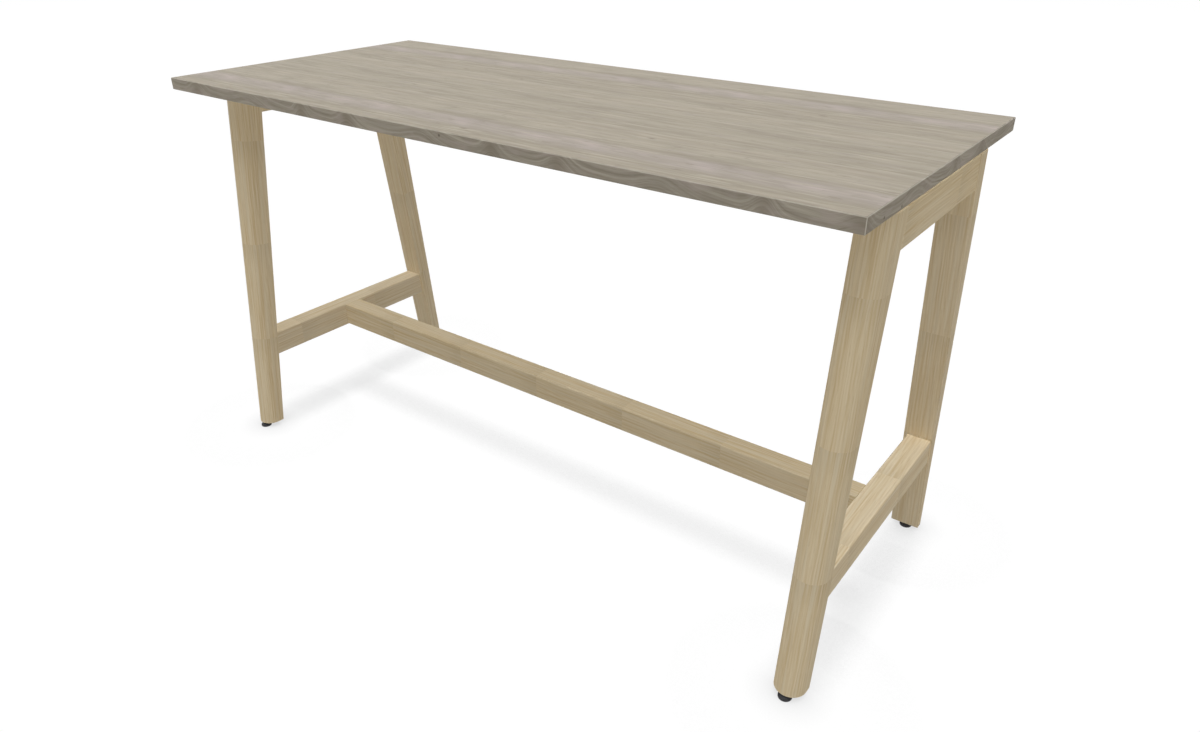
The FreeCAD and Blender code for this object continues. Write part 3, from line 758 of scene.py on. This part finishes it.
def turnedPiece(name, rings, steps, spots, mat, closed=False):  # a ring is radius, height and perhaps a form
    shape = bmesh.new()
    for spot in spots:
        loops = []
        for radius, height, *form in rings:
            loop = []
            for step in range(steps if radius else 1):
                angle = 2 * math.pi * step / steps
                reach = form[0](radius, height, angle) if form else radius
                point = Vector((reach * math.cos(angle), reach * math.sin(angle), height)) * mm
                loop.append(shape.verts.new(spot @ point))
            loops.append(loop)
        above = loops[1:] + loops[:1] if closed else loops[1:]
        for low, high in zip(loops, above):
            for step in range(steps):
                following = step + 1
                corners = [low[step % len(low)], low[following % len(low)],
                           high[following % len(high)], high[step % len(high)]]
                shape.faces.new(list(dict.fromkeys(corners)))  # three corners at a pole, else four
    mesh = bpy.data.meshes.new(name)
    shape.to_mesh(mesh)
    shape.free()
    mesh.polygons.foreach_set("use_smooth", [True] * len(mesh.polygons))
    mesh.set_sharp_from_angle(angle=math.radians(turning["sharpAngle"]))
    mesh.materials.append(mat)
    piece = bpy.data.objects.new(name, mesh)
    bpy.context.scene.collection.objects.link(piece)
    return piece


def hexForm(across):  # a ring with six flats, its corners no further out than the ring
    def reach(radius, height, angle):
        return min(radius, across / 2 / math.cos(angle % (math.pi / 3) - math.pi / 6))
    return reach


def threadForm(depth, pitch):  # a right-hand screw thread
    slope = turning["threadSlope"]

    def reach(radius, height, angle):
        share = (height / pitch - angle / (2 * math.pi)) % 1
        return radius - depth * min(max(slope * abs(2 * share - 1) - (slope - 1) / 2, 0), 1)
    return reach


def fluteForm(depth, count):  # shallow rounded grooves along the piece
    def reach(radius, height, angle):
        return radius - depth * max(math.cos(count * angle), 0)
    return reach


def threadRings(radius, start, end, depth, pitch, perTurn=6):
    count = round((end - start) / pitch * perTurn)
    form = threadForm(depth, pitch)
    return [(radius, start + (end - start) * step / count, form) for step in range(count + 1)]


def arcRings(radius, middle, start, end, count):  # part of a ball, angles in degrees up from its lowest point
    angles = [math.radians(start + (end - start) * step / count) for step in range(count + 1)]
    return [(radius * math.sin(a), middle - radius * math.cos(a)) for a in angles]


def solidBoxes(node):  # the separate solids of a CAD piece, each as its lowest and highest corner
    mesh = cadNodes[node].data
    spots = [tuple(round(c / turning["weld"]) for c in vertex.co) for vertex in mesh.vertices]
    chief = {spot: spot for spot in spots}

    def leader(spot):
        while chief[spot] != spot:
            chief[spot] = chief[chief[spot]]
            spot = chief[spot]
        return spot

    for edge in mesh.edges:
        first, second = edge.vertices
        chief[leader(spots[first])] = leader(spots[second])
    groups = {}
    for vertex, spot in zip(mesh.vertices, spots):
        groups.setdefault(leader(spot), []).append(vertex.co)
    return [(Vector(map(min, zip(*g))), Vector(map(max, zip(*g)))) for g in groups.values()]


def uprightSpots(node):  # the foot of each solid's upright axis
    spots = []
    for low, high in solidBoxes(node):
        middle = (low + high) / 2
        spots.append(Matrix.Translation((middle.x, middle.y, low.z)))
    return spots


def standIn(piece, body, node):  # the piece takes the CAD node's place and body
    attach(piece, body)
    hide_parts(node)


# Levelling feet

foot = {
    "steps": 96,
    "padRadius": 13.0,  # millimetres, as all the sizes here
    "padHeight": 7.0,
    "sole": [(0, 0.4), (9.4, 0.4), (9.9, 0)],  # radius and height: a hollow inside the ring that stands
    "rimHeight": 4.2,
    "cone": [(11.0, 4.75), (9.4, 5.6), (8.2, 6.4)],
    "crownRadius": 7.4,
    "lipRadius": 4.1,
    "ballRadius": 3.6,
    "ballLevel": 4.8,
    "socketRadius": 3.9,
    "neckRadius": 2.4,
    "collarAcross": 13.0,
    "collarCorner": 7.5,
    "collarFace": 6.4,
    "collarChamfer": 0.5,
    "collarFrom": 7.6,
    "collarTo": 11.7,
    "rodRadius": 4.0,
    "rodTip": 44.0,
    "runOut": 0.9,  # no thread this near the collar and the tip
    "pitch": 1.25,
    "threadDepth": 0.72,
}


def padRings():  # ring-shaped sole, upright rim with eased edges, dished cone, then the ball's socket
    rim, crown, top = foot["padRadius"], foot["crownRadius"], foot["padHeight"]
    brow, lip = foot["rimHeight"], foot["lipRadius"]
    mouth = math.degrees(math.acos((foot["ballLevel"] - top) / foot["socketRadius"]))
    sole = foot["sole"] + [(rim - 0.8, 0), (rim - 0.25, 0.22), (rim, 0.8)]
    wall = [(rim, brow - 0.5), (rim - 0.15, brow - 0.12), (rim - 0.55, brow)]
    cone = foot["cone"] + [(crown + 0.2, top - 0.22), (crown - 0.2, top)]
    inlet = [(lip, top), (lip - 0.5, top - 0.1)]
    socket = arcRings(foot["socketRadius"], foot["ballLevel"], mouth - 4, 6, 8)
    return sole + wall + cone + inlet + socket + [(0, foot["ballLevel"] - foot["socketRadius"])]


def studRings():  # ball, neck, chamfered hexagon, relief, thread and tip
    low, high, cut = foot["collarFrom"], foot["collarTo"], foot["collarChamfer"]
    ball, rod, tip = foot["ballRadius"], foot["rodRadius"], foot["rodTip"]
    face, corner, six = foot["collarFace"], foot["collarCorner"], hexForm(foot["collarAcross"])
    root, runOut = rod - foot["threadDepth"], foot["runOut"]
    throat = 180 - math.degrees(math.asin(foot["neckRadius"] / ball))
    collar = [(face, low), (corner, low + cut, six), (corner, high - cut, six), (face, high)]
    relief = [(root, high), (root, high + 0.6)]
    thread = threadRings(rod, high + runOut, tip - runOut, foot["threadDepth"], foot["pitch"])
    end = [(root, tip - 0.4), (rod - 1, tip), (0, tip)]
    start = [(0, foot["ballLevel"] - ball)] + arcRings(ball, foot["ballLevel"], 8, throat, 10)
    return start + [(foot["neckRadius"], low)] + collar + relief + thread + end


for place in places:
    low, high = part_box("glide_pad_" + place)
    spot = Matrix.Translation(((low.x + high.x) / 2, (low.y + high.y) / 2, low.z))
    pad = turnedPiece("nylonPad_" + place, padRings(), foot["steps"], [spot], blackNylon)
    standIn(pad, "pad_" + place, "glide_pad_" + place)
    stud = turnedPiece("levellingStud_" + place, studRings(), foot["steps"] // 2, [spot], studSteel)
    standIn(stud, "stud_" + place, "glide_stud_" + place)
print("levelling feet made")


# Fittings between top and frame

fitting = {
    "steps": 48,
    "ease": 0.3,  # millimetres, as all the sizes here
    "spacerRadius": 12.0,
    "spacerBore": 3.3,
    "spacerHeight": 7.0,
    "headRadius": 5.25,
    "headHeight": 4.0,
    "socketAcross": 4.0,
    "socketCorner": 2.3,
    "socketMouth": 2.65,
    "socketDepth": 2.2,
    "shankRadius": 3.0,
    "screwLength": 49.0,
    "threadLength": 26.0,
    "screwPitch": 1.0,
    "screwDepth": 0.58,
    "screwPoint": 0.8,
    "knurls": 24,
    "knurlDepth": 0.14,
    "insertPitch": 2.5,
    "insertDepth": 0.8,
    "insertWall": 1.0,
    "insertRunOut": 1.0,
}


def spacerRings():  # eased rims and a shallow groove round the middle
    bore, outer, high = fitting["spacerBore"], fitting["spacerRadius"], fitting["spacerHeight"]
    ease = fitting["ease"]
    rims = [(bore, ease), (bore + ease, 0), (outer - 0.8, 0), (outer - 0.25, 0.25), (outer, 0.8)]
    groove = [(outer, high / 2 - 0.6), (outer - 0.35, high / 2 - 0.25)]
    lower = rims + groove
    return lower + [(radius, high - height) for radius, height in reversed(lower)]


def screwRings():  # hexagon socket, knurled head, plain shank, thread and point
    head, shank, end = fitting["headRadius"], fitting["shankRadius"], fitting["screwLength"]
    six, knurl = hexForm(fitting["socketAcross"]), fluteForm(fitting["knurlDepth"], fitting["knurls"])
    corner, deep, top = fitting["socketCorner"], fitting["socketDepth"], fitting["headHeight"]
    ease, point, start = fitting["ease"], fitting["screwPoint"], end - fitting["threadLength"]
    socket = [(0, deep + 0.5), (1.6, deep), (corner, deep, six), (corner, ease, six)]
    side = [(fitting["socketMouth"], 0), (head - 0.45, 0), (head, 0.5, knurl), (head, top - ease, knurl)]
    neck = [(head - ease, top), (shank + ease, top), (shank, top + ease)]
    thread = threadRings(shank, start, end - point, fitting["screwDepth"], fitting["screwPitch"], 5)
    return socket + side + neck + [(shank, start - 0.4)] + thread + [(shank - point, end), (0, end)]


def insertRings(node):  # a sleeve with a coarse outer thread and a plain bore
    low, high = solidBoxes(node)[0]
    outer, length = (high.x - low.x) / 2 / mm, (high.z - low.z) / mm
    deep, ease, runOut = fitting["insertDepth"], fitting["ease"], fitting["insertRunOut"]
    root, bore = outer - deep, outer - deep - fitting["insertWall"]
    thread = threadRings(outer, runOut, length - runOut, deep, fitting["insertPitch"])
    mouth = [(bore, ease), (bore + ease, 0), (root, 0)]
    return mouth + thread + [(root, length), (bore + ease, length), (bore, length - ease)]


steps = fitting["steps"]
spacers = turnedPiece("topSpacers", spacerRings(), steps, uprightSpots("top_spacers"), blackNylon, True)
standIn(spacers, "frame", "top_spacers")
screws = turnedPiece("topScrews", screwRings(), steps, uprightSpots("top_screws"), brightZinc)
standIn(screws, "frame", "top_screws")
for node, name in (("top_inserts", "topInserts"), ("foot_inserts", "footInserts")):
    sleeves = turnedPiece(name, insertRings(node), steps, uprightSpots(node), brightZinc, True)
    standIn(sleeves, "frame", node)
print("fittings under the top made")


# Dowels and cam bolts inside the joints

pin = {
    "dowelSteps": 72,
    "flutes": 18,
    "fluteDepth": 0.35,  # millimetres, as all the sizes here
    "chamfer": 1.0,
    "boltSteps": 48,
    "boltHead": 3.5,
    "boltHeadLength": 4.0,
    "boltShank": 2.5,
    "boltThread": 3.0,
    "boltThreadLength": 14.0,
    "boltPoint": 1.5,
    "boltPitch": 2.0,
    "boltDepth": 0.7,
}


def dowelRings(radius, length):  # fluted pin with chamfered ends
    flute, cut = fluteForm(pin["fluteDepth"], pin["flutes"]), pin["chamfer"]
    tip = radius - cut
    return [(0, 0), (tip, 0), (radius, cut, flute), (radius, length - cut, flute), (tip, length), (0, length)]


def camBoltRings(length):  # round head with eased edges, plain shank, collar and coarse thread
    head, long, shank = pin["boltHead"], pin["boltHeadLength"], pin["boltShank"]
    crest, start, end = pin["boltThread"], length - pin["boltThreadLength"], length - pin["boltPoint"]
    grip = [(0, 0), (head - 0.6, 0), (head, 0.6), (head, long - 0.4), (head - 0.4, long), (shank, long)]
    collar = [(shank, start - 0.4), (crest, start), (crest, start + 0.6)]
    thread = threadRings(crest, start + 0.8, end, pin["boltDepth"], pin["boltPitch"])
    return grip + collar + thread + [(crest - 1.4, length), (0, length)]


def lyingSpot(low, high, outward):  # the inner end of a solid that lies along outward
    middle = (low + high) / 2
    along = Vector(outward)
    start = middle - along * abs((high - low).dot(along)) / 2
    return Matrix.Translation(start) @ along.to_track_quat("Z", "Y").to_matrix().to_4x4()


dowelRuns = (
    ("frame_dowels_left", "frameDowelsLeft", (0, 1, 0), crossBeech),
    ("frame_dowels_right", "frameDowelsRight", (0, 1, 0), crossBeech),
    ("footrest_dowels", "footrestDowels", (1, 0, 0), longBeech),
)
for node, name, along, mat in dowelRuns:
    boxes = solidBoxes(node)
    low, high = boxes[0]
    length = (high - low).dot(Vector(along)) / mm
    radius = (high.z - low.z) / 2 / mm
    spots = [lyingSpot(low, high, along) for low, high in boxes]
    standIn(turnedPiece(name, dowelRings(radius, length), pin["dowelSteps"], spots, mat), "frame", node)

boxes = solidBoxes("footrest_cam_bolts")
spots = [lyingSpot(low, high, (math.copysign(1, low.x), 0, 0)) for low, high in boxes]
length = (boxes[0][1].x - boxes[0][0].x) / mm
bolts = turnedPiece("footrestCamBolts", camBoltRings(length), pin["boltSteps"], spots, brightZinc)
standIn(bolts, "frame", "footrest_cam_bolts")
print("dowels and cam bolts made")
